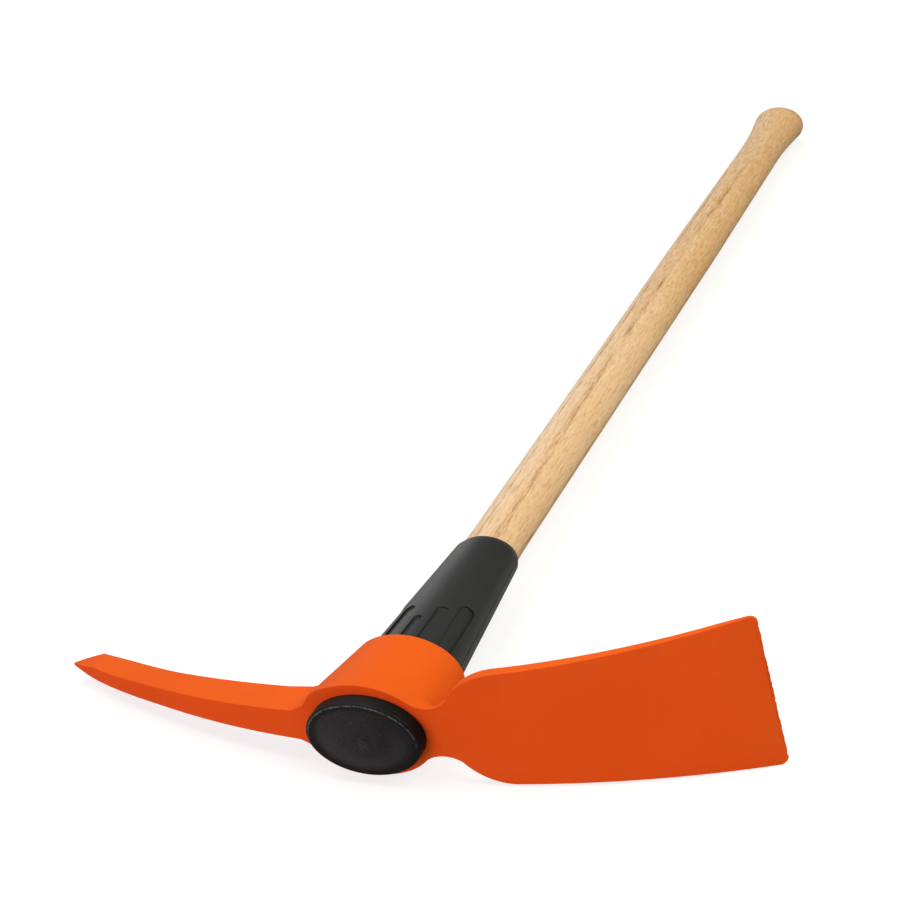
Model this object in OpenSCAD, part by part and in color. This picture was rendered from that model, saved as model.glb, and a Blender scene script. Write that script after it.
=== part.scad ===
// Pick mattock: forged head with a pick and an adze, ash handle, split sleeve and end cap.
// +X points to the adze, +Y along the handle to the knob, +Z is square to the tool.
// The origin is the middle of the end cap's outer face. All sizes are in millimetres.

/* [Whole tool] */
// Length from the end cap's outer face to the knob's end
tool_l = 924; // [800:1:1000]
// Thickness over width of the handle, the sleeve and the eye
handle_oval = 0.72; // [0.66:0.01:0.8]
// Steps along a curved outline
steps = 12; // [8:1:24]
// Facets on a round edge in the preview
$fn = 96;

/* [Head, eye] */
// Depth of the eye along the handle
eye_depth = 59; // [45:1:75]
// Steel beside the eye at its lower rim, in the swing plane
rim_steel = 4.6; // [3:0.1:7]
// Thickness over width of the eye's boss
boss_oval = 0.745; // [0.7:0.005:0.85]
// How much the boss grows from its rim to the head's face, each side
boss_flare = 7.2; // [3:0.1:10]
// How far the boss leans to the pick at the head's face
boss_lean = 2.6; // [0:0.1:6]
// How much the eye widens from its rim to the head's face, each side
eye_flare = 0.5; // [0.2:0.1:2]

/* [Head, pick] */
// Reach of the pick from the handle's axis to its point
pick_l = 255.5; // [200:0.1:320]
// Radius of the pick's front curve
pick_front_r = 610; // [450:1:900]
// Radius of the pick's back curve
pick_back_r = 820; // [600:1:1200]
// Depth of the pick's bar at the handle's axis
pick_root_t = 23.2; // [18:0.1:30]
// Half width of the pick's bar where it leaves the eye
pick_root_w = 11.3; // [8:0.1:16]
// Half width of the pick's bar where the point starts
pick_end_w = 5.6; // [3:0.1:8]
// Length of the bevelled point
point_l = 23.6; // [15:0.1:40]
// Half width of the point's blunt tip
point_w = 0.9; // [0.5:0.1:3]
// Thickness of the point's blunt tip
point_t = 1.4; // [0.8:0.1:3]
// How far the tip lies in front of the pick's front curve
point_drop = 2.7; // [0:0.1:5]
// Radius of the hollow between the pick's sides and the boss
pick_hollow_r = 20; // [10:1:40]
// How far round that hollow turns into the boss, in degrees
pick_hollow_a = 53; // [40:1:60]

/* [Head, adze] */
// Reach of the adze from the handle's axis to its cutting edge
adze_l = 236.9; // [180:0.1:300]
// Radius of the adze's front curve
adze_front_r = 538; // [400:1:800]
// Radius of the adze's back curve
adze_back_r = 579; // [545:1:700]
// Depth of the adze's blade, carried back to the handle's axis
adze_root_t = 6.5; // [5:0.1:12]
// Width of the cutting edge
edge_w = 103.8; // [80:0.1:130]
// Width of the blade where its shoulders end
shoulder_w = 80.2; // [60:0.1:100]
// Where the shoulders end, from the handle's axis
shoulder_x = 90; // [75:0.5:120]
// Radius of the shoulders
shoulder_r = 42; // [30:0.5:60]
// Radius of the two bent-in curves along the blade's sides
side_r = 2800; // [1500:10:6000]
// Radius of the cutting edge's corners
corner_r = 4.5; // [1:0.1:8]
// Length of the bevel behind the cutting edge
edge_bevel_l = 17; // [8:0.5:30]
// Thickness of the cutting edge
edge_t = 1.6; // [1:0.1:3]
// Half width of the neck between the eye and the blade
neck_w = 17.8; // [12:0.1:24]
// Radius of the notch beside the neck
notch_r = 19; // [12:0.5:25]
// How much the notch opens for each millimetre of depth, as a forging draft
notch_draft = 0.12; // [0.08:0.01:0.2]
// Where the notch meets the boss, as an angle round the boss
notch_at = 42; // [30:1:55]
// Depth of the neck where it leaves the eye
neck_t = 31; // [20:0.5:45]
// Radius of the hollow under the neck
neck_hollow_r = 54; // [30:1:90]

/* [Handle] */
// Width of the wood inside the eye
swell_w = 59.8; // [52:0.1:66]
// Width of the shaft past the sleeve
shaft_w = 40.6; // [36:0.1:46]
// Width of the waist above the knob
waist_w = 37.6; // [32:0.1:40]
// Width of the knob
knob_w = 45.9; // [42:0.1:54]
// Distance from the waist to the knob's widest ring
flare_l = 66; // [40:1:90]
// Length of the taper from the shaft to the waist
taper_l = 196; // [100:1:300]
// Length of the knob past its widest ring
knob_l = 11; // [6:0.5:20]
// Radius of the knob's rounded edge
knob_edge_r = 5; // [2:0.5:8]
// Radius where the swell runs out into the shaft
runout_r = 800; // [400:10:1200]

/* [Sleeve] */
// Distance from the head's face to the sleeve's grip end
sleeve_l = 188; // [150:1:230]
// Plastic over the wood at the eye, in the swing plane
rim_wall = 3.4; // [3:0.1:6]
// Plastic over the wood at the grip end, in the swing plane
end_wall = 3.1; // [2:0.1:4]
// Length of the bevel at the grip end
bevel_l = 5; // [2:0.5:10]
// Depth of the bevel at the grip end
bevel_t = 1.7; // [0.5:0.1:2.4]
// Depth of the flutes, in the swing plane
flute_t = 2; // [1:0.1:2.6]
// Width of the outer flutes
flute_w = 7.6; // [5:0.1:9]
// Width of the middle flute
middle_flute_w = 5.6; // [4:0.1:8]
// Where the outer flutes lie, as a share of the sleeve's half width
outer_ratio = 0.78; // [0.7:0.01:0.82]
// Where the next flutes lie, as a share of the sleeve's half width
inner_ratio = 0.39; // [0.34:0.01:0.44]
// Top of the outer flutes, from the head's face
outer_top = 110; // [90:1:140]
// Top of the next flutes, from the head's face
inner_top = 101; // [85:1:130]
// Top of the middle flute, from the head's face
middle_top = 88; // [75:1:120]

/* [End cap] */
// Height of the cap above the head's face
cap_h = 10; // [6:0.5:16]
// How far the cap laps over the eye, in the swing plane
cap_lap = 5; // [3:0.1:6]
// Thickness over width of the cap
cap_oval = 0.695; // [0.66:0.005:0.75]
// Radius of the cap's rounded edge
cap_edge_r = 2.4; // [1:0.1:5]
// How much is taken off the cap's front to make it flat
face_cut = 0.24; // [0.1:0.02:0.5]
// Length of the cap's plug
plug_l = 6; // [3:0.5:12]

/* [Fits] */
// Glue line between wood and plastic
glue_gap = 0.1; // [0.05:0.05:0.3]
// Gap between the sleeve and the eye
eye_gap = 0.1; // [0.05:0.05:0.3]
// Gap between the two halves of the sleeve
seam_gap = 0.3; // [0.1:0.05:0.6]
// Gap under the cap
cap_gap = 0.05; // [0.02:0.01:0.2]
// How far the front curves of the arms rise above the head's flat face at the eye
crest = 0.9; // [0.3:0.1:2]
// How far the notch runs into the shoulder where the two curves meet
blend = 0.25; // [0.1:0.05:0.5]

/* [Hidden] */
face_y = cap_h;
rim_y = face_y + eye_depth;
sleeve_end_y = face_y + sleeve_l;
sleeve_top_y = face_y + cap_gap;
wood_end_y = face_y + plug_l + glue_gap;
knob_y = tool_l - knob_l;
waist_y = knob_y - flare_l;
swell_r = swell_w / 2;
shaft_r = shaft_w / 2;
waist_r = waist_w / 2;
knob_r = knob_w / 2;
swell_slope = (swell_r - shaft_r) / (sleeve_end_y - rim_y);
sleeve_rim_r = swell_r + rim_wall;
sleeve_end_r = shaft_r + end_wall;
eye_rim_r = sleeve_rim_r + eye_gap;
eye_face_r = eye_rim_r + eye_flare;
boss_rim_r = eye_rim_r + rim_steel;
boss_face_r = boss_rim_r + boss_flare;
cap_r = eye_face_r + cap_lap;
half_edge = edge_w / 2;
half_shoulder = shoulder_w / 2;
shoulder_c = [shoulder_x, half_shoulder - shoulder_r];
notch_z = neck_w + notch_r;
neck_x = shoulder_x - sqrt(pow(shoulder_r + notch_r - blend, 2) - pow(notch_z - shoulder_c[1], 2));
notch_c = [neck_x, notch_z];
notch_end = [boss_face_r * cos(notch_at) - boss_lean, boss_face_r * boss_oval * sin(notch_at)];
pick_hollow_x = -boss_face_r - pick_hollow_r / 2;
pick_slope = (pick_root_w - pick_end_w) / (pick_l - point_l - boss_face_r);
pick_hollow_w = pick_root_w + pick_slope * (pick_hollow_x + boss_face_r);
pick_hollow_c = [pick_hollow_x, pick_hollow_w + pick_hollow_r];
far = 2 * tool_l;
steel = [0.93, 0.38, 0.11];
wood = [0.85, 0.69, 0.49];
plastic = [0.23, 0.23, 0.23];
black = [0.14, 0.14, 0.14];

// Points of an arc about a centre, from one angle to another
function arc(c, r, a0, a1) =
    [for (i = [0 : steps]) let (a = a0 + (a1 - a0) * i / steps) c + r * [cos(a), sin(a)]];

// Half width of the sleeve at a place along the handle
function sleeve_r(y) =
    sleeve_rim_r + (sleeve_end_r - sleeve_rim_r) * (y - rim_y) / (sleeve_end_y - rim_y);

// Turn a shape drawn up the Z axis to run along the handle, and flatten it to an oval
module oval_along(flat) {
    rotate([-90, 0, 0])
        scale([1, flat, 1])
            children();
}

// Everything behind the front curves of the pick and the adze, seen along Z
module behind_front() {
    intersection() {
        translate([0, pick_front_r - crest])
            circle(pick_front_r);
        translate([-far, 0])
            square(far);
    }
    intersection() {
        translate([0, adze_front_r - crest])
            circle(adze_front_r);
        square(far);
    }
}

// The pick's bar seen along Z, between two arcs, and its straight point
module pick_side() {
    point_x = point_l - pick_l;
    curve_y = pick_front_r - crest - sqrt(pow(pick_front_r, 2) - pow(point_x, 2));
    back_y = pick_root_t + pick_back_r - sqrt(pow(pick_back_r, 2) - pow(point_x, 2));
    tip_y = pick_front_r - crest - sqrt(pow(pick_front_r, 2) - pow(pick_l, 2)) - point_drop;
    difference() {
        intersection() {
            behind_front();
            translate([point_x, 0])
                square([-point_x, pick_l]);
        }
        translate([0, pick_root_t + pick_back_r])
            circle(pick_back_r);
    }
    polygon([
        [-pick_l, tip_y],
        [point_x, curve_y],
        [point_x, back_y],
        [-pick_l, tip_y + point_t]
    ]);
}

// The adze seen along Z: a thinning blade with a bevelled edge, and the deeper neck with a hollow under it
module adze_side() {
    hollow_x = neck_x + neck_hollow_r * cos(asin(1 - (neck_t - adze_root_t) / neck_hollow_r)) - notch_r;
    bevel_x = adze_l - edge_bevel_l;
    bevel_y = adze_root_t + adze_back_r - sqrt(pow(adze_back_r, 2) - pow(bevel_x, 2));
    edge_y = adze_front_r - crest - sqrt(pow(adze_front_r, 2) - pow(adze_l, 2)) + edge_t;
    intersection() {
        behind_front();
        union() {
            difference() {
                square([adze_l + edge_w, adze_l]);
                translate([0, adze_root_t + adze_back_r])
                    circle(adze_back_r);
                polygon([
                    [bevel_x, bevel_y],
                    [adze_l, edge_y],
                    [far, edge_y],
                    [far, far],
                    [bevel_x, far]
                ]);
            }
            difference() {
                square([hollow_x, neck_t]);
                translate([hollow_x, adze_root_t + crest + neck_hollow_r])
                    circle(neck_hollow_r);
            }
        }
    }
}

// Half of the pick's outline seen along the handle, on the +Z side
module half_pick() {
    polygon([
        [-pick_l, 0],
        [-pick_l, point_w],
        [point_l - pick_l, pick_end_w],
        [-boss_face_r, pick_root_w],
        [0, pick_root_w],
        [0, 0]
    ]);
}

// Half of the hollow that leads from the pick's side into the boss
module half_pick_hollow() {
    difference() {
        polygon([
            [pick_hollow_x, 0],
            pick_hollow_c,
            pick_hollow_c + pick_hollow_r * [sin(pick_hollow_a), -cos(pick_hollow_a)],
            [-boss_face_r / 2, pick_root_w],
            [-boss_face_r / 2, 0]
        ]);
        translate(pick_hollow_c)
            circle(pick_hollow_r);
    }
}

// Half of the neck's outline before its notch is cut
module half_neck() {
    polygon([
        [0, 0],
        [0, neck_w / 2],
        notch_end,
        notch_c,
        shoulder_c,
        [shoulder_x, 0]
    ]);
}

// The drafted notches between the boss and the blade's shoulders
module notches() {
    depth = 2 * neck_t;
    for (side = [-1, 1])
        translate([notch_c[0], 0, side * notch_c[1]])
            rotate([-90, 0, 0])
                cylinder(h = depth, r1 = notch_r, r2 = notch_r + notch_draft * depth);
}

// Half of the blade's outline: round shoulder, bent-in side and rounded corner
module half_blade() {
    intersection() {
        translate(shoulder_c)
            circle(shoulder_r);
        square([shoulder_x, half_edge]);
    }
    difference() {
        polygon([
            [shoulder_x, 0],
            [shoulder_x, half_shoulder],
            [adze_l - corner_r, half_edge],
            [adze_l - corner_r, 0]
        ]);
        side_hollow();
    }
    translate([adze_l - corner_r, half_edge - corner_r])
        circle(corner_r);
    translate([adze_l - corner_r, 0])
        square([corner_r, half_edge - corner_r]);
}

// The big circle that bends in the blade's side, through the shoulder and the corner
module side_hollow() {
    run = [adze_l - corner_r - shoulder_x, half_edge - half_shoulder];
    middle = [shoulder_x, half_shoulder] + run / 2;
    out = [-run[1], run[0]] / norm(run);
    translate(middle + out * sqrt(pow(side_r, 2) - pow(norm(run) / 2, 2)))
        circle(side_r);
}

// Oval cone of the boss, leaning to the pick at the head's face
module boss() {
    intersection() {
        multmatrix([
            [1, 0, boss_lean / eye_depth, -boss_lean],
            [0, 0, 1, 0],
            [0, -boss_oval, 0, 0]
        ])
            cylinder(h = eye_depth, r1 = boss_face_r, r2 = boss_rim_r);
        translate([0, 0, -far / 2])
            linear_extrude(far)
                behind_front();
    }
}

// Both halves of an outline seen along the handle, swept back from the head's face with a lean in X
module sweep(lean) {
    multmatrix([
        [1, 0, lean, 0],
        [0, 0, 1, 0],
        [0, -1, 0, 0]
    ])
        linear_extrude(pick_l)
            union() {
                children();
                mirror([0, 1])
                    children();
            }
}

// A shape seen along Z, made as thick as the blade is wide
module slab() {
    translate([0, 0, -half_edge])
        linear_extrude(edge_w)
            children();
}

module head() {
    pick_lean = (boss_flare + boss_lean) / eye_depth;
    color(steel)
        translate([0, face_y, 0])
            difference() {
                union() {
                    intersection() {
                        slab()
                            pick_side();
                        union() {
                            sweep(0)
                                half_pick();
                            sweep(pick_lean)
                                half_pick_hollow();
                        }
                    }
                    intersection() {
                        slab()
                            adze_side();
                        union() {
                            sweep(0)
                                half_blade();
                            difference() {
                                sweep(0)
                                    half_neck();
                                notches();
                            }
                        }
                    }
                    boss();
                }
                oval_along(handle_oval)
                    translate([0, 0, -eye_depth])
                        cylinder(
                            h = 3 * eye_depth,
                            r1 = eye_face_r + eye_flare,
                            r2 = eye_rim_r - eye_flare
                        );
            }
}

// Outline of the wood from its axis outwards, grown by a gap
module wood_profile(gap, from_y) {
    lean = atan(swell_slope);
    taper = atan((shaft_r - waist_r) / taper_l);
    flare_r = (pow(flare_l, 2) + pow(knob_r - waist_r, 2)) / (2 * (knob_r - waist_r));
    flare_a = asin(flare_l / flare_r);
    run = runout_r * tan(lean / 2);
    runout = [shaft_r + runout_r, sleeve_end_y + run];
    crown_r = (pow(knob_r - knob_edge_r, 2) + pow(knob_l - knob_edge_r, 2)) / (2 * (knob_l - knob_edge_r));
    crown_a = asin((knob_r - knob_edge_r) / crown_r);
    polygon(concat(
        [[0, from_y], [swell_r + gap, from_y], [swell_r + gap, rim_y]],
        arc(runout, runout_r - gap, 180 + lean, 180),
        [[shaft_r + gap, waist_y - taper_l]],
        arc([waist_r + flare_r, waist_y], flare_r - gap, 180 + taper, 180 - flare_a),
        arc([knob_r - knob_edge_r, knob_y], knob_edge_r + gap, 0, 90 - crown_a),
        arc([0, tool_l - crown_r], crown_r + gap, 90 - crown_a, 90)
    ));
}

module handle() {
    color(wood)
        oval_along(handle_oval)
            for (turn = [0, 180])
                rotate([0, 0, turn])
                    rotate_extrude(angle = 180)
                        wood_profile(0, wood_end_y);
}

// Outline of the sleeve's outside, taken in by a depth
module sleeve_profile(depth) {
    polygon([
        [0, sleeve_top_y],
        [sleeve_rim_r + eye_flare - depth, sleeve_top_y],
        [sleeve_rim_r - depth, rim_y],
        [sleeve_r(sleeve_end_y - bevel_l) - depth, sleeve_end_y - bevel_l],
        [sleeve_end_r - max(bevel_t, depth), sleeve_end_y],
        [0, sleeve_end_y]
    ]);
}

// One flute seen along Z: a round top, spreading with the sleeve down into the eye
module flute(at, width, top) {
    top_y = face_y + top - width / 2;
    top_x = at * sleeve_r(top_y);
    low_x = at * sleeve_r(face_y);
    translate([top_x, top_y])
        circle(d = width);
    polygon([
        [top_x - width / 2, top_y],
        [top_x + width / 2, top_y],
        [low_x + width / 2, face_y - cap_h],
        [low_x - width / 2, face_y - cap_h]
    ]);
}

// One moulded half of the sleeve, on the +Z side, with its five flutes
module sleeve_half() {
    difference() {
        union() {
            difference() {
                oval_along(handle_oval)
                    rotate_extrude()
                        sleeve_profile(0);
                linear_extrude(swell_w)
                    union() {
                        flute(outer_ratio, flute_w, outer_top);
                        flute(inner_ratio, flute_w, inner_top);
                        flute(0, middle_flute_w, middle_top);
                        flute(-inner_ratio, flute_w, inner_top);
                        flute(-outer_ratio, flute_w, outer_top);
                    }
            }
            oval_along(handle_oval)
                rotate_extrude()
                    sleeve_profile(flute_t);
        }
        oval_along(handle_oval)
            rotate_extrude()
                wood_profile(glue_gap, -cap_h);
        translate([-far / 2, -far / 2, seam_gap / 2 - far])
            cube(far);
    }
}

module sleeve_upper() {
    color(plastic)
        sleeve_half();
}

module sleeve_lower() {
    color(plastic)
        rotate([0, 180, 0])
            sleeve_half();
}

// Oval cap with a rounded edge, a flat front and a plug that sits in the sleeve's mouth
module end_cap() {
    plug_r = swell_r - glue_gap;
    color(black)
        difference() {
            oval_along(cap_oval)
                rotate_extrude()
                    polygon(concat(
                        [[0, -face_cut]],
                        arc([cap_r - cap_edge_r, cap_edge_r - face_cut], cap_edge_r, -90, 0),
                        [[cap_r, cap_h], [plug_r, cap_h], [plug_r, cap_h + plug_l], [0, cap_h + plug_l]]
                    ));
            translate([-far / 2, -far, -far / 2])
                cube(far);
        }
}

head();
handle();
sleeve_upper();
sleeve_lower();
end_cap();
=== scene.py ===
import math

import bpy
from mathutils import Euler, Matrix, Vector


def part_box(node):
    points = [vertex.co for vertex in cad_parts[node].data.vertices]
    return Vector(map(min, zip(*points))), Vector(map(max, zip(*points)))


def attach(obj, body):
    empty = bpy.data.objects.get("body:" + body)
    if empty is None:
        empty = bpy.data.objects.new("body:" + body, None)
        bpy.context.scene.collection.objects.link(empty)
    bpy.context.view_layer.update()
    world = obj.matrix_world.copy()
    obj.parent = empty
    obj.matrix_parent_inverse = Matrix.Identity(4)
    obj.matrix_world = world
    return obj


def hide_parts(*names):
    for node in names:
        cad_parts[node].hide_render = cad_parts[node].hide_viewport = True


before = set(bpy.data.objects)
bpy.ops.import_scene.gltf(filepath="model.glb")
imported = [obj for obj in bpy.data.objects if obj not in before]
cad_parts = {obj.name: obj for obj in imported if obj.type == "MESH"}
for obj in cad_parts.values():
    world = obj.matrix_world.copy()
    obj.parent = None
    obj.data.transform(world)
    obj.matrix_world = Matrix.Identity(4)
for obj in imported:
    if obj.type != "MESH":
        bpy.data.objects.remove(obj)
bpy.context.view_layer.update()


# Handle
# One stick of pale ash, turned to an oval and sanded: it swells into the eye, runs even along the shaft,
# draws in to a waist and flares to a knob. It is pushed down through the sleeve and glued there.
knob_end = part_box("handle")[1].y
eye_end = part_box("handle")[0].y
sleeve_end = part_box("sleeve_upper")[1].y
swell_end = 0.069
blend_length, taper_length, flare_length, crown_height = 0.03, 0.196, 0.066, 0.011
knob_ring = knob_end - crown_height
waist_ring = knob_ring - flare_length
shaft_end = waist_ring - taper_length
swell_half, shaft_half, waist_half, knob_half = 0.0299, 0.0203, 0.0188, 0.02295
wood_oval, knob_oval = 0.72, 0.77


def ease(share):
    """A share from 0 to 1, eased at both ends."""
    share = min(max(share, 0), 1)
    return share * share * (3 - 2 * share)


def wood_half(y):
    """Half the handle's width at a place along it."""
    if y <= swell_end:
        return swell_half
    if y <= sleeve_end + blend_length:
        slope = (swell_half - shaft_half) / (sleeve_end - swell_end)
        straight = swell_half - slope * (y - swell_end)
        over = max(y - sleeve_end + blend_length, 0)
        return max(straight + slope * over * over / (4 * blend_length), shaft_half)
    if y <= shaft_end:
        return shaft_half
    if y <= waist_ring:
        return shaft_half + (waist_half - shaft_half) * (y - shaft_end) / (waist_ring - shaft_end)
    flare = (y - waist_ring) / (knob_ring - waist_ring)
    return waist_half + (knob_half - waist_half) * flare * flare


def wood_thick(y):
    """Half the handle's thickness at a place along it. The knob is a little rounder than the shaft."""
    flare = ease((y - waist_ring) / (knob_ring - waist_ring))
    return wood_half(y) * (wood_oval + (knob_oval - wood_oval) * flare)


def spaced(start, step, count):
    """So many places along the piece, a step apart."""
    return [start + step * number for number in range(count)]


# Each ring is its place along the handle, half its width and half its thickness.
places = [eye_end, 0.04, swell_end, 0.1, 0.15]
places += spaced(start=sleeve_end - blend_length, step=blend_length / 5, count=11)
places += [0.3, 0.38, 0.46, 0.54, 0.6, shaft_end, 0.72, 0.78]
places += spaced(start=waist_ring, step=flare_length / 12, count=13)
rings = [(y, wood_half(y), wood_thick(y)) for y in places]
knob_round, crown_fill = 0.005, 0.9
for turn in range(15, 80, 15):
    rise = knob_round * math.sin(math.radians(turn))
    inset = knob_round * (1 - math.cos(math.radians(turn)))
    rings.append((knob_ring + rise, knob_half - inset, wood_thick(knob_ring) - inset))
crown_start, crown_half, crown_thick = rings[-1]
crown_drop = crown_fill * (knob_end - crown_start)
for share in (0.8, 0.6, 0.4, 0.2):
    rings.append((knob_end - crown_drop * share ** 2, crown_half * share, crown_thick * share))


def draw_out(name, rings):
    """An oval bar drawn out ring by ring, and left in edit mode with its last ring selected."""
    start, half, thick = rings[0]
    bpy.ops.object.select_all(action="DESELECT")
    bpy.ops.mesh.primitive_circle_add(
        vertices=96, radius=half, fill_type="NGON", location=(0, start, 0), rotation=(math.pi / 2, 0, 0)
    )
    bar = bpy.context.object
    bar.name = name
    bpy.ops.object.transform_apply(location=True, rotation=True, scale=True)
    bpy.ops.object.mode_set(mode="EDIT")
    bpy.ops.mesh.select_all(action="SELECT")
    bpy.ops.transform.resize(value=(1, 1, thick / half), center_override=(0, start, 0))
    for before, after in zip(rings, rings[1:]):
        bpy.ops.mesh.extrude_region_move(TRANSFORM_OT_translate={"value": (0, after[0] - before[0], 0)})
        bpy.ops.transform.resize(
            value=(after[1] / before[1], 1, after[2] / before[2]), center_override=(0, after[0], 0)
        )
    return bar


def face_outwards():
    """Turn the faces of the piece in edit mode outwards, let go of them and leave edit mode."""
    bpy.ops.mesh.select_all(action="SELECT")
    bpy.ops.mesh.normals_make_consistent(inside=False)
    bpy.ops.mesh.select_all(action="DESELECT")
    bpy.ops.object.mode_set(mode="OBJECT")


# The last ring is drawn together to one point, which is lifted to the top of the crown.
handle = draw_out("ash_handle", rings)
bpy.ops.mesh.merge(type="CENTER")
face_outwards()
hair = 1e-6
for vertex in handle.data.vertices:
    if vertex.co.y > knob_ring and vertex.co.xz.length < hair:
        vertex.co.y = knob_end
bpy.ops.object.shade_smooth_by_angle(angle=math.radians(40))

grain = bpy.data.node_groups.new("grain", "ShaderNodeTree")
for name, kind in (("Vector", "Vector"), ("Scale", "Vector"), ("Detail", "Float"), ("Roughness", "Float")):
    grain.interface.new_socket(name, in_out="INPUT", socket_type="NodeSocket" + kind)
grain.interface.new_socket("Fac", in_out="OUTPUT", socket_type="NodeSocketFloat")
group_in = grain.nodes.new("NodeGroupInput")
group_out = grain.nodes.new("NodeGroupOutput")
stretch = grain.nodes.new("ShaderNodeMapping")
noise = grain.nodes.new("ShaderNodeTexNoise")
noise.inputs["Scale"].default_value = 1
for name in ("Vector", "Scale"):
    grain.links.new(group_in.outputs[name], stretch.inputs[name])
for name in ("Detail", "Roughness"):
    grain.links.new(group_in.outputs[name], noise.inputs[name])
grain.links.new(stretch.outputs["Vector"], noise.inputs["Vector"])
grain.links.new(noise.outputs["Fac"], group_out.inputs["Fac"])


def new_finish(name):
    """A new material, its node tree, its surface and the place on the piece that patterns follow."""
    finish = bpy.data.materials.new(name)
    finish.use_nodes = True
    tree = finish.node_tree
    where = tree.nodes.new("ShaderNodeTexCoord").outputs["Object"]
    return finish, tree, tree.nodes["Principled BSDF"], where


def feed(tree, socket, value):
    """Link a socket to another one, or set it to a number or a colour."""
    if isinstance(value, bpy.types.NodeSocket):
        tree.links.new(value, socket)
    else:
        socket.default_value = value


def parts_of(tree, where):
    """The X, Y and Z of the place on the piece."""
    apart = tree.nodes.new("ShaderNodeSeparateXYZ")
    feed(tree, apart.inputs["Vector"], where)
    return apart.outputs


def window(tree, value, low, high):
    """The value spread from 0 at low to 1 at high, and held there outside."""
    spread = tree.nodes.new("ShaderNodeMapRange")
    spread.interpolation_type = "SMOOTHSTEP"
    feed(tree, spread.inputs["Value"], value)
    feed(tree, spread.inputs["From Min"], low)
    feed(tree, spread.inputs["From Max"], high)
    return spread.outputs["Result"]


def grain_layer(tree, where, scale, detail, rough):
    """One use of the grain group: a noise drawn out by its scale, so many cells to the metre each way."""
    layer = tree.nodes.new("ShaderNodeGroup")
    layer.node_tree = grain
    feed(tree, layer.inputs["Vector"], where)
    feed(tree, layer.inputs["Scale"], scale)
    feed(tree, layer.inputs["Detail"], detail)
    feed(tree, layer.inputs["Roughness"], rough)
    return layer.outputs["Fac"]


def grain_mask(tree, where, scale, detail, rough, low, high):
    """A layer of grain, spread to a mask."""
    return window(tree, grain_layer(tree, where, scale, detail, rough), low, high)


def combine(tree, operation, values):
    """Values and numbers put together, one after another, by one kind of sum."""
    total = values[0]
    for value in values[1:]:
        step = tree.nodes.new("ShaderNodeMath")
        step.operation = operation
        feed(tree, step.inputs[0], total)
        feed(tree, step.inputs[1], value)
        total = step.outputs["Value"]
    return total


def times(tree, *values):
    """The product of values and numbers."""
    return combine(tree, "MULTIPLY", values)


def plus(tree, *values):
    """The sum of values and numbers."""
    return combine(tree, "ADD", values)


def larger(tree, *values):
    """The largest of values and numbers."""
    return combine(tree, "MAXIMUM", values)


def raised(tree, value, share, least):
    """A share of a value on top of a least one."""
    return plus(tree, times(tree, value, share), least)


def tint(tree, share, first, second):
    """A colour between two, each a colour or a socket, by a share."""
    mix = tree.nodes.new("ShaderNodeMix")
    mix.data_type = "RGBA"
    feed(tree, mix.inputs["Factor"], share)
    colours = [socket for socket in mix.inputs if socket.type == "RGBA"]
    feed(tree, colours[0], first)
    feed(tree, colours[1], second)
    return [socket for socket in mix.outputs if socket.type == "RGBA"][0]


def emboss(tree, surface, height, strength, depth):
    """Give a surface a fine relief from a height."""
    relief = tree.nodes.new("ShaderNodeBump")
    feed(tree, relief.inputs["Strength"], strength)
    feed(tree, relief.inputs["Distance"], depth)
    feed(tree, relief.inputs["Height"], height)
    feed(tree, surface.inputs["Normal"], relief.outputs["Normal"])
    return relief


ash, tree, surface, where = new_finish("sanded_ash")
place = parts_of(tree, where)

# Growth rings cut at a slant: the porous wood of each shows as bundles of dark lines that come and go.
lie = tree.nodes.new("ShaderNodeMapping")
lie.inputs["Rotation"].default_value = (0, math.radians(35), math.radians(-2.6))
lie.inputs["Scale"].default_value = (30, 2.1, 30)
feed(tree, lie.inputs["Vector"], where)
growth = tree.nodes.new("ShaderNodeTexWave")
growth.wave_type = "BANDS"
growth.bands_direction = "X"
growth.wave_profile = "SAW"
growth_values = {"Scale": 1, "Distortion": 3.2, "Detail": 2, "Detail Scale": 0.9, "Phase Offset": math.pi}
for name, value in growth_values.items():
    growth.inputs[name].default_value = value
feed(tree, growth.inputs["Vector"], lie.outputs["Vector"])
early = window(tree, growth.outputs["Fac"], low=0.6, high=0.92)
patch = grain_mask(tree, where, scale=(70, 9, 70), detail=2, rough=0.5, low=0.3, high=0.5)
clear_end = window(tree, place["Y"], low=0.84, high=0.72)
bundle = times(tree, early, patch, clear_end)
line_least, fleck_share = 0.12, 0.5
lines = grain_mask(tree, where, scale=(760, 40, 760), detail=4, rough=0.68, low=0.44, high=0.55)
broken = grain_mask(tree, where, scale=(800, 170, 800), detail=3, rough=0.7, low=0.36, high=0.6)
lines = times(tree, lines, raised(tree, broken, share=0.65, least=0.35))
streak = times(tree, bundle, plus(tree, lines, line_least))
flecks = grain_mask(tree, where, scale=(850, 90, 850), detail=3, rough=0.65, low=0.5, high=0.68)
open_pores = larger(tree, streak, times(tree, flecks, fleck_share))

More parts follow.
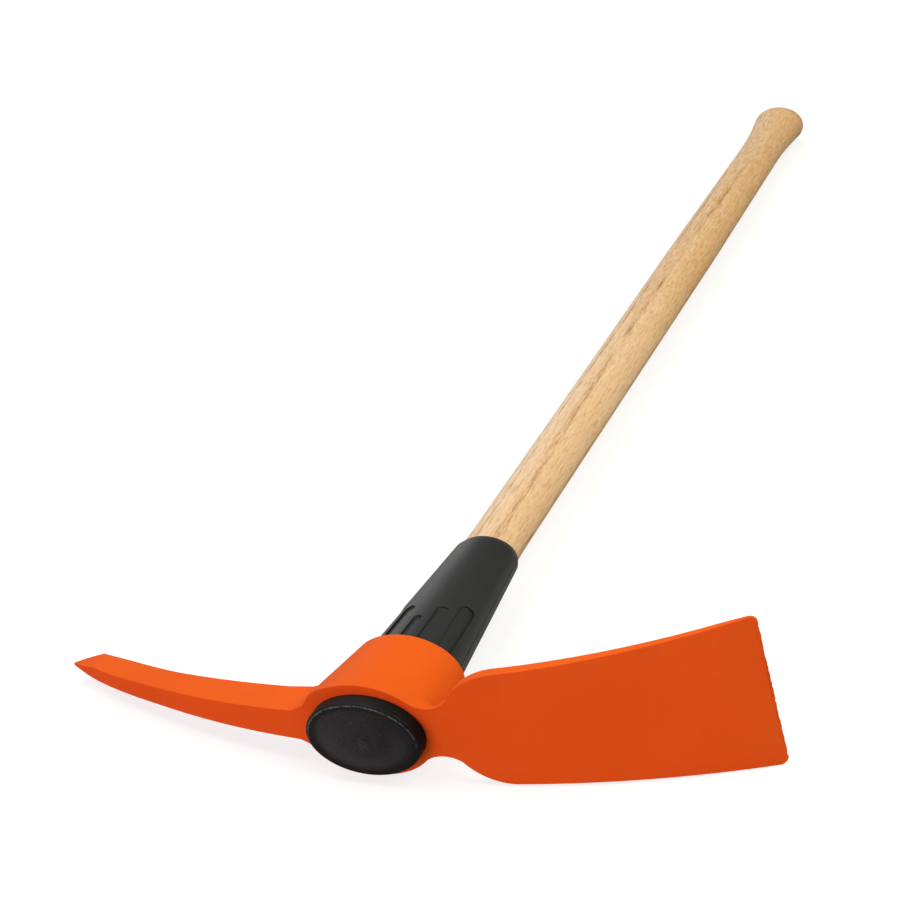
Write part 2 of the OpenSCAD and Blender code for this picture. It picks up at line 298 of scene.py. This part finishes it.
# The ground colour is warmer to the knob; as painted light and shade it is paler on the -X side and warmer
# on the +X side.
pale, warm, pore_brown = (0.9, 0.69, 0.51, 1), (0.71, 0.405, 0.195, 1), (0.41, 0.19, 0.07, 1)
fibre_tan, speck_tan = (0.64, 0.4, 0.2, 1), (0.58, 0.31, 0.12, 1)
fibre_share, pore_share, fibre_relief = 0.48, 0.95, 0.3
tone = grain_mask(tree, where, scale=(40, 3.4, 40), detail=3, rough=0.5, low=0.3, high=0.7)
far_end = window(tree, place["Y"], low=0.42, high=0.62)
# Painted shade on the +X side and painted light on the -X side.
painted_shade_side = window(tree, place["X"], low=0.002, high=0.022)
painted_light_side = window(tree, place["X"], low=0, high=-0.012)
warmth = ((far_end, 0.4), (tone, 0.32), (painted_shade_side, 0.35), (painted_light_side, -0.45))
mellow = plus(tree, *[times(tree, mask, weight) for mask, weight in warmth])
body = tint(tree, mellow, pale, warm)
fibre = grain_mask(tree, where, scale=(620, 60, 620), detail=4, rough=0.75, low=0.3, high=0.7)
body = tint(tree, times(tree, fibre, fibre_share), body, fibre_tan)
speck = grain_mask(tree, where, scale=(450, 120, 450), detail=3, rough=0.72, low=0.43, high=0.6)
body = tint(tree, times(tree, speck, raised(tree, far_end, share=0.34, least=0.16)), body, speck_tan)
body = tint(tree, times(tree, open_pores, pore_share), body, pore_brown)
# The end grain at the crown is darker, more so towards +X as painted shade.
end_grain = window(tree, place["Y"], low=knob_ring - 0.003, high=knob_ring + 0.002)
body = tint(tree, times(tree, end_grain, raised(tree, painted_shade_side, share=0.5, least=0.15)), body, pore_brown)
feed(tree, surface.inputs["Base Color"], body)
feed(tree, surface.inputs["Roughness"], window(tree, fibre, low=-1.2, high=2.2))
sunken = plus(tree, open_pores, times(tree, fibre, fibre_relief))
emboss(tree, surface, sunken, strength=0.25, depth=0.0004).invert = True
surface.inputs["Specular IOR Level"].default_value = 0.2
handle.data.materials.append(ash)
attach(handle, "root")
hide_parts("handle")


# Sleeve
# Two half shells of black moulded plastic that close round the wood on the tool's middle plane. They taper
# with the swell, carry five flutes that run down into the eye, and wedge the head when it is driven on.
def merged_copy(node, name):
    """A copy of a CAD solid as one closed mesh, with the triangles of each flat face merged."""
    piece = bpy.data.objects.new(name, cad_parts[node].data.copy())
    bpy.context.scene.collection.objects.link(piece)
    bpy.ops.object.select_all(action="DESELECT")
    bpy.context.view_layer.objects.active = piece
    piece.select_set(True)
    piece.data.materials.clear()
    bpy.ops.object.mode_set(mode="EDIT")
    bpy.ops.mesh.select_all(action="SELECT")
    bpy.ops.mesh.remove_doubles(threshold=hair)
    bpy.ops.mesh.customdata_custom_splitnormals_clear()
    bpy.ops.mesh.dissolve_limited(angle_limit=math.radians(0.2))
    bpy.ops.object.mode_set(mode="OBJECT")
    return piece


def round_edges(piece, width, least_turn):
    """Round every edge of the active piece that turns enough, and shade the flat faces flat."""
    bpy.ops.object.shade_smooth()
    soft = piece.modifiers.new("soft", "BEVEL")
    soft.width = width
    soft.segments = 3
    soft.limit_method = "ANGLE"
    soft.angle_limit = math.radians(least_turn)
    soft.use_clamp_overlap = False
    even = piece.modifiers.new("even", "WEIGHTED_NORMAL")
    even.weight = 80
    for modifier in ("soft", "even"):
        bpy.ops.object.modifier_apply(modifier=modifier)


def cloud_over(tree, surface, where, scale, colours, rough_share, rough_least):
    """Let a surface's colour and roughness drift in broad soft clouds."""
    cloud = grain_layer(tree, where, scale, detail=3, rough=0.5)
    colour = tint(tree, window(tree, cloud, low=0.3, high=0.7), *colours)
    feed(tree, surface.inputs["Base Color"], colour)
    feed(tree, surface.inputs["Roughness"], raised(tree, cloud, rough_share, rough_least))


plastic, tree, surface, where = new_finish("satin_black_plastic")
blacks = ((0.0145, 0.0148, 0.0165, 1), (0.019, 0.0195, 0.0215, 1))
cloud_over(tree, surface, where, scale=(26, 9, 26), colours=blacks, rough_share=0.16, rough_least=0.36)
spark = grain_layer(tree, where, scale=(1500, 1500, 1500), detail=2, rough=0.6)
emboss(tree, surface, spark, strength=0.16, depth=0.00015)
surface.inputs["Specular IOR Level"].default_value = 0.42
for node in ("sleeve_upper", "sleeve_lower"):
    half = merged_copy(node, node + "_shell")
    round_edges(half, width=0.0003, least_turn=35)
    half.data.materials.append(plastic)
    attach(half, "root")
    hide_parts(node)


# Head
# One steel forging: a pick that tapers to a bevelled point, a deep oval eye and a flared adze with a
# sharpened edge. It is ground, powder coated orange all over and driven down the handle on to the sleeve.
head = merged_copy("head", "forged_head")
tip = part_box("head")[0].x
cutting_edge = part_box("head")[1].x
eye_front, eye_back = 0.01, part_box("head")[1].y
to_adze, to_knob = Vector((1, 0, 0)), Vector((0, 1, 0))
valley_x, valley_y, valley_z = (0.016, 0.078), (0.012, 0.072), (0.008, 0.038)
root_x = (-0.09, -0.035)
point_cut, blade_end = 0.12, 0.03
flank_tilt, face_tilt = 0.6, 0.5


def choose_faces(piece, chosen):
    """Select the faces that a test picks, and go into edit mode with them."""
    bpy.ops.object.mode_set(mode="EDIT")
    bpy.ops.mesh.select_mode(type="FACE")
    bpy.ops.mesh.select_all(action="DESELECT")
    bpy.ops.object.mode_set(mode="OBJECT")
    for polygon in piece.data.polygons:
        polygon.select = chosen(polygon)
    bpy.ops.object.mode_set(mode="EDIT")


def cut_across(piece, chosen, axis, places):
    """Cut the faces that a test picks, square to an axis, at some places along it."""
    for spot in places:
        choose_faces(piece, chosen)
        bpy.ops.mesh.bisect(plane_co=axis * spot, plane_no=axis)
        bpy.ops.object.mode_set(mode="OBJECT")


def within(value, limits):
    """Whether a value lies between two limits."""
    return limits[0] < value < limits[1]


def is_flank(polygon):
    """Whether a face looks more to the side than along the handle."""
    return abs(polygon.normal.y) < flank_tilt


def in_valley(polygon):
    """Whether a face belongs to the eye's wall or the neck's side where the two run into each other."""
    x, y, z = polygon.center
    inside = within(x, valley_x) and within(y, valley_y) and within(abs(z), valley_z)
    return inside and is_flank(polygon)


def in_root(polygon):
    """Whether a face belongs to the flanks where the pick leaves the eye."""
    return within(polygon.center.x, root_x) and is_flank(polygon)


def in_point(polygon):
    """Whether a face belongs to the end of the pick."""
    return polygon.center.x < tip + point_cut


def in_blade_end(polygon):
    """Whether a face belongs to the end of the adze."""
    return polygon.center.x > cutting_edge - blade_end


# The valley where the eye's wall runs into the neck is cut fine and smoothed around its crease.
cut_across(head, in_valley, to_knob, spaced(start=0.012, step=0.003, count=20))
cut_across(head, in_valley, to_adze, spaced(start=0.0177, step=0.0025, count=24))
bpy.ops.object.mode_set(mode="EDIT")
bpy.ops.mesh.select_all(action="SELECT")
bpy.ops.mesh.remove_doubles(threshold=0.0002)
bpy.ops.object.mode_set(mode="OBJECT")
crease_front, crease_back = Vector((0.0325, 0.012, 0.0222)), Vector((0.0345, 0.045, 0.0185))
crease_length = crease_back.y - crease_front.y
valley_reach, valley_front, valley_back = 0.019, 0.0115, 0.064
front_fade, valley_fade = 0.006, 0.01
valley = head.vertex_groups.new(name="valley")
for vertex in head.data.vertices:
    x, y, z = vertex.co
    along = min(max((y - crease_front.y) / crease_length, 0), 1)
    middle = crease_front.lerp(crease_back, along)
    away = math.hypot(x - middle.x, abs(z) - middle.z)
    share = ease((valley_reach - away) / valley_fade)
    share *= ease((y - valley_front) / front_fade)
    share *= ease((valley_back - y) / valley_fade)
    if share > 0:
        valley.add([vertex.index], share, "REPLACE")
flow = head.modifiers.new("flow", "SMOOTH")
flow.factor = 0.5
flow.iterations = 110
flow.vertex_group = "valley"
bpy.ops.object.modifier_apply(modifier="flow")
head.vertex_groups.clear()

# Where the pick leaves the eye, a fuller fillet is raised on it and the eye's flank is drawn in. The bore,
# which lies within the margin, keeps its shape.
cut_across(head, in_root, to_adze, spaced(start=-0.0612, step=0.0022, count=8))
bore_half, bore_thick, bore_margin = 0.0345, 0.0255, 1.1
shaped_x = (-0.06, -0.018)
fillet_middle, fillet_reach, fillet_rise, fillet_back = -0.0455, 0.01, 0.0013, 0.04
hollow_middle, hollow_reach, hollow_depth = -0.033, 0.014, 0.0016
for vertex in head.data.vertices:
    x, y, z = vertex.co
    out_from_bore = (x / bore_half) ** 2 + (z / bore_thick) ** 2
    if out_from_bore > bore_margin and within(x, shaped_x):
        fill = fillet_rise * ease(1 - abs(x - fillet_middle) / fillet_reach) if y < fillet_back else 0
        hollow = hollow_depth * ease(1 - abs(x - hollow_middle) / hollow_reach)
        hollow *= min((eye_back - y) / (eye_back - eye_front), 1)
        vertex.co.z += math.copysign(fill - hollow, z)

# The pick's belly and back are filled out behind the point.
point_cuts = spaced(start=tip, step=0.003, count=9)[1:] + spaced(start=tip + 0.03, step=0.007, count=11)
cut_across(head, in_point, to_adze, point_cuts)
point_length = 0.1


def fullness(reach, rise, run, fade):
    """How far a face is filled out at a reach from the tip: in full after a run, fading up the pick."""
    return rise * math.sin(math.pi / 2 * min(reach / run, 1)) * ease((point_length - reach) / fade)


belly, back = set(), set()
for polygon in head.data.polygons:
    if polygon.center.x < tip + point_length and abs(polygon.normal.y) > face_tilt:
        side = belly if polygon.normal.y < 0 else back
        side.update(polygon.vertices)
for vertex in head.data.vertices:
    reach = vertex.co.x - tip
    if vertex.index in belly:
        vertex.co.y -= fullness(reach, rise=0.0021, run=0.022, fade=0.075)
    elif vertex.index in back:
        vertex.co.y += fullness(reach, rise=0.002, run=0.018, fade=0.06)

# A thin strip is cut along the adze's edge. The edge is found by its place and length, divided and nicked.
strip_width, nick_depth = 0.0016, 0.0003
edge_slack, shortest_edge = 0.0004, 0.05
cut_across(head, in_blade_end, to_adze, [cutting_edge - strip_width])
bpy.ops.object.mode_set(mode="EDIT")
bpy.ops.mesh.select_mode(type="EDGE")
bpy.ops.mesh.select_all(action="DESELECT")
bpy.ops.object.mode_set(mode="OBJECT")
for line in head.data.edges:
    ends = [head.data.vertices[index].co for index in line.vertices]
    at_edge = min(end.x for end in ends) > cutting_edge - edge_slack
    line.select = at_edge and abs(ends[0].z - ends[1].z) > shortest_edge
bpy.ops.object.mode_set(mode="EDIT")
bpy.ops.mesh.subdivide(number_cuts=52)
bpy.ops.transform.translate(value=(-nick_depth, 0, 0))
bpy.ops.transform.vertex_random(offset=nick_depth, uniform=1, normal=0, seed=4)
bpy.ops.object.mode_set(mode="OBJECT")
round_edges(head, width=0.00035, least_turn=60)

coat, tree, surface, where = new_finish("orange_powder_coat")
oranges = ((0.75, 0.104, 0.0118, 1), (0.79, 0.113, 0.0132, 1))
cloud_over(tree, surface, where, scale=(16, 16, 16), colours=oranges, rough_share=0.12, rough_least=0.4)
peel = grain_layer(tree, where, scale=(620, 620, 620), detail=2, rough=0.5)
emboss(tree, surface, peel, strength=0.12, depth=0.0003)
surface.inputs["Specular IOR Level"].default_value = 0.012
head.data.materials.append(coat)
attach(head, "root")
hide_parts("head")


# End cap
# An oval plug of dull black plastic that closes the eye on the working side. Its face is a little dished,
# with a gate mark, scuffs and a pale line along the upper rim that is partly a rubbed scuff and partly a
# painted highlight.
# Its colour also carries painted shade towards the adze and painted light in the dish. Its stub is pressed
# into the eye against the end of the wood.
cap_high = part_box("end_cap")[1]
cap_half, cap_thick = cap_high.x, cap_high.z
seat, stub_gap, flange_shift = 0.01, 0.0001, 0.0007
rim_round, seat_chamfer = 0.0022, 0.0004
stub_half = swell_half - stub_gap
stub_thick = stub_half * cap_thick / cap_half

# Each ring is its place behind the rim's plane, half its width and half its thickness.
gate_rings = [(0.0013, 0.0004, 0.0003), (0.0012, 0.0011, 0.0008), (0.0005, 0.0019, 0.0013)]
dish_rings = [(0.0012, 0.0034, 0.0024), (0.0015, 0.0058, 0.004), (0.0008, 0.0076, 0.0053)]
dish_rings += [(0.0009, 0.0095, 0.0066), (0.0009, 0.02, 0.0138)]
dish_rings += [(0.0004, cap_half - 0.0062, cap_thick - 0.0055)]
rim_rings = [(0, cap_half - rim_round - 0.0006, cap_thick - rim_round - 0.0004)]
for turn in (15, 40, 65, 90):
    drop = rim_round * (1 - math.cos(math.radians(turn)))
    inset = rim_round * (1 - math.sin(math.radians(turn)))
    rim_rings.append((drop, cap_half - inset, cap_thick - inset))
seat_rings = [(seat - seat_chamfer, cap_half, cap_thick)]
seat_rings += [(seat, cap_half - seat_chamfer, cap_thick - seat_chamfer)]
stub_rings = [(seat, stub_half, stub_thick), (cap_high.y, stub_half, stub_thick)]
stub_rings += [(cap_high.y, 0.012, 0.008)]
cap = draw_out("oval_end_cap", gate_rings + dish_rings + rim_rings + seat_rings + stub_rings)
face_outwards()
flange_inside = stub_thick + 0.002
for vertex in cap.data.vertices:
    vertex.select = vertex.co.y < seat + hair and vertex.co.xz.length > flange_inside
bpy.ops.object.mode_set(mode="EDIT")
bpy.ops.transform.translate(value=(-flange_shift, 0, 0))
bpy.ops.object.mode_set(mode="OBJECT")
bpy.ops.object.shade_smooth_by_angle(angle=math.radians(35))


def distance_out(tree, where, scale, shift):
    """How far a place on the face lies from a middle, after the face is scaled and shifted."""
    flat = tree.nodes.new("ShaderNodeMapping")
    feed(tree, flat.inputs["Vector"], where)
    feed(tree, flat.inputs["Scale"], scale)
    feed(tree, flat.inputs["Location"], shift)
    out = tree.nodes.new("ShaderNodeVectorMath")
    out.operation = "LENGTH"
    feed(tree, out.inputs[0], flat.outputs["Vector"])
    return out.outputs["Value"]


def face_ring(tree, reach, comes_in, goes_out):
    """A ring on the face that comes in over one stretch of the reach and goes out over another."""
    return times(tree, window(tree, reach, *comes_in), window(tree, reach, *goes_out))


dull, tree, surface, where = new_finish("scuffed_black_plastic")
place = parts_of(tree, where)
scuff_share, gate_share, dish_light_share = 0.6, 0.8, 0.3
side_least, shaded_band_share, shade_share, gate_relief = 0.35, 0.6, 0.85, 2
reach = distance_out(tree, where, (1 / cap_half, 0, 1 / cap_thick), (flange_shift / cap_half, 0, 0))
wall = window(tree, reach, low=0.8, high=0.94)

# Scuffs in patches and the torn gate mark, with painted light on the low side of the dish.
cloud = grain_mask(tree, where, scale=(70, 70, 70), detail=4, rough=0.6, low=0.3, high=0.7)
scuff = grain_mask(tree, where, scale=(520, 300, 760), detail=4, rough=0.7, low=0.48, high=0.7)
torn = grain_mask(tree, where, scale=(900, 900, 900), detail=3, rough=0.7, low=0.45, high=0.6)
off_gate = distance_out(tree, where, (1, 0, 1), (0.0017, 0, 0.0031))
gate = times(tree, window(tree, off_gate, low=0.0046, high=0.003), torn)
# Painted light: the low side of the dish is made paler.
lit_dish_ring = face_ring(tree, reach, comes_in=(0.4, 0.6), goes_out=(0.82, 0.7))
lit_low_side = window(tree, place["Z"], low=0.014, high=-0.006)
scuffs_and_dish_light = times(tree, scuff, times(tree, cloud, scuff_share))
scuffs_and_dish_light = larger(tree, scuffs_and_dish_light, times(tree, gate, gate_share), times(tree, lit_dish_ring, lit_low_side, dish_light_share))

# Painted shade: the side to the adze, the wall and the band inside the rim are darkened in the colour.
painted_shade_across = window(tree, place["X"], low=-0.032, high=0.032)
shaded_far_side = window(tree, place["X"], low=-0.004, high=0.034)
shaded_band = face_ring(tree, reach, comes_in=(0.76, 0.88), goes_out=(0.97, 0.93))
side_shade = times(tree, larger(tree, wall, side_least), shaded_far_side)
shade = larger(tree, side_shade, times(tree, shaded_band, shaded_band_share))

# A pale line along the upper half of the rim, partly a rubbed scuff and partly a painted highlight from
# above.
rim = face_ring(tree, reach, comes_in=(0.92, 0.94), goes_out=(0.975, 0.945))
lit_upper_half = window(tree, place["Z"], low=-0.008, high=0.01)
chafed = grain_mask(tree, where, scale=(300, 300, 300), detail=4, rough=0.7, low=0.38, high=0.62)
rubbed_rim_highlight = times(tree, rim, lit_upper_half, raised(tree, chafed, share=0.8, least=0.1))

face_black, shaded_side_black = (0.0225, 0.0285, 0.028, 1), (0.0105, 0.014, 0.0138, 1)
wall_shade_black, shade_black = (0.0125, 0.014, 0.014, 1), (0.0005, 0.0008, 0.0008, 1)
scuff_and_light_grey, rubbed_highlight_grey = (0.053, 0.068, 0.067, 1), (0.11, 0.14, 0.138, 1)
# In turn: painted shade towards the adze, the scuffs with the dish's painted light, painted shade on the
# wall and in the shade, then the rim's painted highlight.
body = tint(tree, painted_shade_across, face_black, shaded_side_black)
body = tint(tree, scuffs_and_dish_light, body, scuff_and_light_grey)
body = tint(tree, wall, body, wall_shade_black)
body = tint(tree, times(tree, shade, shade_share), body, shade_black)
# The rim's painted highlight, broken in patches, goes on last.
body = tint(tree, rubbed_rim_highlight, body, rubbed_highlight_grey)
feed(tree, surface.inputs["Base Color"], body)
feed(tree, surface.inputs["Roughness"], raised(tree, scuffs_and_dish_light, share=0.15, least=0.42))
emboss(tree, surface, plus(tree, scuff, times(tree, gate, gate_relief)), strength=0.35, depth=0.0004)
surface.inputs["Specular IOR Level"].default_value = 0.1
cap.data.materials.append(dull)
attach(cap, "root")
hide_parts("end_cap")


# Floor, light and camera
# A pale floor on which the tool lies as it would by itself, on the adze's corner, the eye and the knob, in
# the light of four soft boxes: overhead, in front, at the right and, much weaker, behind. The camera stands
# where the photograph was taken from.
floor_up = Vector((0.08075, -0.01798, 0.99657))
floor_point = Vector((-0.003, 0.913, -0.01752))
floor_shift = Vector((0, -0.45, 0))
floor_gap = 0.0005
bpy.ops.object.select_all(action="DESELECT")
bpy.ops.mesh.primitive_circle_add(vertices=64, radius=6, fill_type="NGON")
floor = bpy.context.object
floor.name = "floor"
floor.rotation_euler = floor_up.to_track_quat("Z", "Y").to_euler()
floor.location = floor_point + floor_shift - floor_up * (floor_up @ floor_shift) - floor_up * floor_gap


def show_camera(tree, unseen, seen, output):
    """End a tree with one shader for the camera and another for the light that goes round."""
    path = tree.nodes.new("ShaderNodeLightPath")
    either = tree.nodes.new("ShaderNodeMixShader")
    feed(tree, either.inputs["Fac"], path.outputs["Is Camera Ray"])
    feed(tree, either.inputs[1], unseen)
    feed(tree, either.inputs[2], seen)
    result = tree.nodes.new(output)
    feed(tree, result.inputs["Surface"], either.outputs["Shader"])


paper = bpy.data.materials.new("white_paper")
paper.use_nodes = True
tree = paper.node_tree
tree.nodes.clear()
lit = tree.nodes.new("ShaderNodeBsdfDiffuse")
lit.inputs["Color"].default_value = (0.5, 0.5, 0.5, 1)
faint = tree.nodes.new("ShaderNodeBsdfDiffuse")
faint.inputs["Color"].default_value = (0.3, 0.3, 0.3, 1)
glow = tree.nodes.new("ShaderNodeEmission")
glow.inputs["Strength"].default_value = 0.78
both = tree.nodes.new("ShaderNodeAddShader")
feed(tree, both.inputs[0], faint.outputs["BSDF"])
feed(tree, both.inputs[1], glow.outputs["Emission"])
show_camera(tree, lit.outputs["BSDF"], both.outputs["Shader"], "ShaderNodeOutputMaterial")
floor.data.materials.append(paper)

world = bpy.data.worlds.new("studio")
bpy.context.scene.world = world
world.use_nodes = True
tree = world.node_tree
tree.nodes.clear()
sky = tree.nodes.new("ShaderNodeBackground")
sky.inputs["Strength"].default_value = 0.24
white = tree.nodes.new("ShaderNodeBackground")
white.inputs["Strength"].default_value = 1
show_camera(tree, sky.outputs["Background"], white.outputs["Background"], "ShaderNodeOutputWorld")


def lamp(name, place, target, size, power, colour):
    """A square soft box at a place, turned to a target."""
    light = bpy.data.lights.new(name, "AREA")
    light.shape = "SQUARE"
    light.size = size
    light.energy = power
    light.color = colour
    box = bpy.data.objects.new(name, light)
    box.location = place
    box.rotation_euler = (Vector(target) - Vector(place)).to_track_quat("-Z", "Y").to_euler()
    bpy.context.scene.collection.objects.link(box)


lamp("overhead", (-0.4, 0.25, 2.2), target=(0, 0.25, 0), size=1.6, power=26, colour=(0.86, 1, 0.86))
lamp("front", (-0.8, -2.2, 0.75), target=(0, 0.1, 0), size=1.6, power=33, colour=(1, 0.47, 0.68))
lamp("right", (1.5, 0.1, 1.6), target=(0, 0.3, 0), size=1.4, power=33, colour=(1, 0.97, 0.74))
lamp("back", (-1.5, 1.7, 0.6), target=(0, 0.2, 0), size=1.0, power=5, colour=(1, 1, 1))

camera_turn = (62.0529, 14.7157, 23.8567)
camera_data = bpy.data.cameras.new("camera")
camera_data.sensor_width = 36
camera_data.lens = 83.33
camera_data.clip_end = 30
camera = bpy.data.objects.new("camera", camera_data)
camera.location = (0.62649, -0.83147, 0.69656)
camera.rotation_euler = Euler([math.radians(turn) for turn in camera_turn], "XYZ")
bpy.context.scene.collection.objects.link(camera)
bpy.context.scene.camera = camera
bpy.context.scene.view_settings.view_transform = "Standard"
